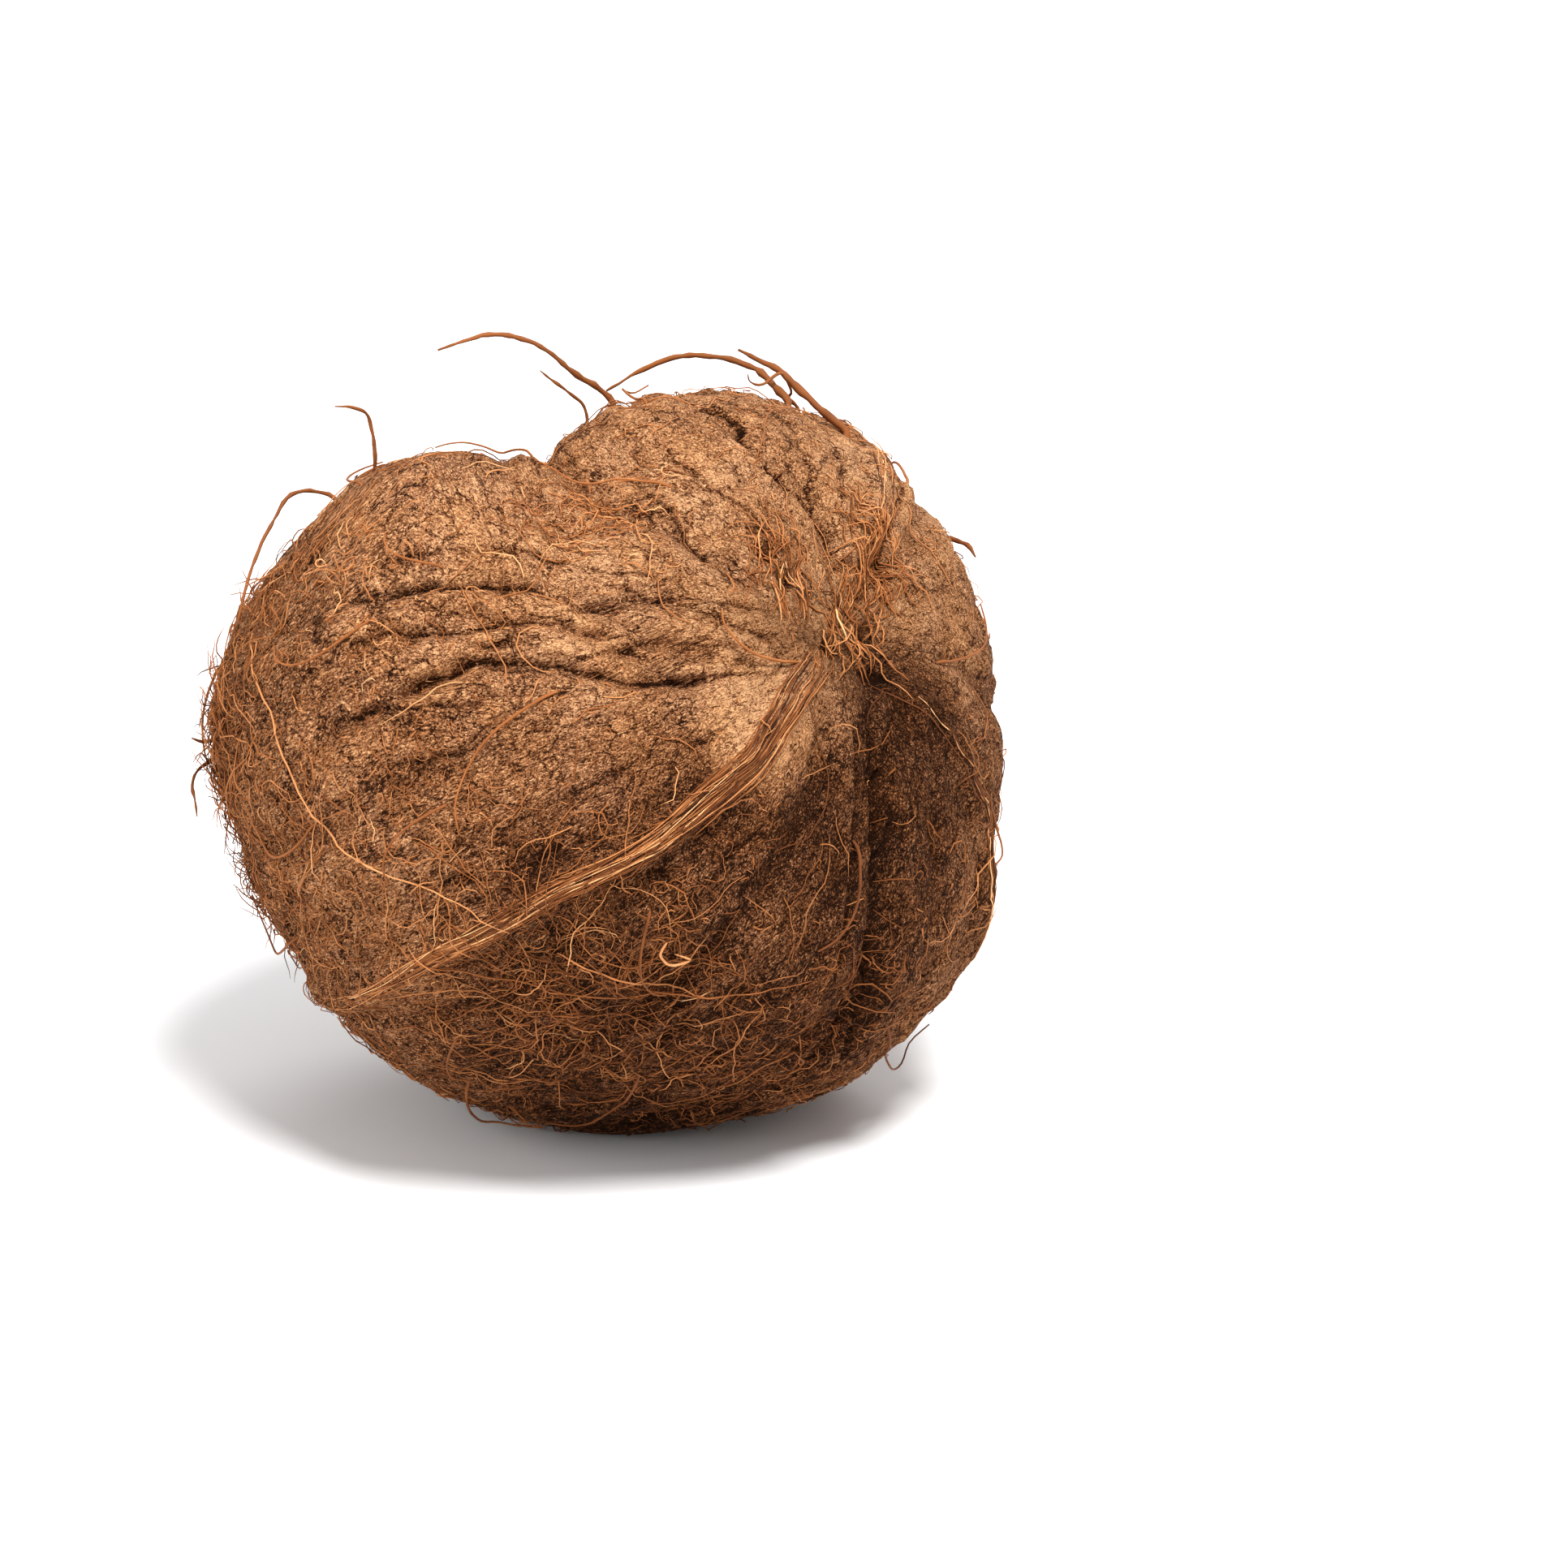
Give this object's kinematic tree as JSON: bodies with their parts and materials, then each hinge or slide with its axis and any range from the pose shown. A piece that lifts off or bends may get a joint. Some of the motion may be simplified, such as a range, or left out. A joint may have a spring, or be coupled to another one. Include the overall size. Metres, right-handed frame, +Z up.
{
  "type": "coconut",
  "caption": "Whole husked coconut, nearly round with a drawn-in stem end, a valley on one shoulder and loose coir strands, resting on a small flat spot.",
  "frame": {"origin": "centre of the flat spot on the underside that the coconut rests on", "axes": "+Z up from the flat spot, +X to the right of the viewer of the picture, +Y away from that viewer"},
  "size_m": [0.1327, 0.1281, 0.1282],
  "materials": {
    "husk": "dry matt brown husk of short coir fibres"
  },
  "bodies": {
    "root": {"coconut": "husk"}
  },
  "joints": []
}
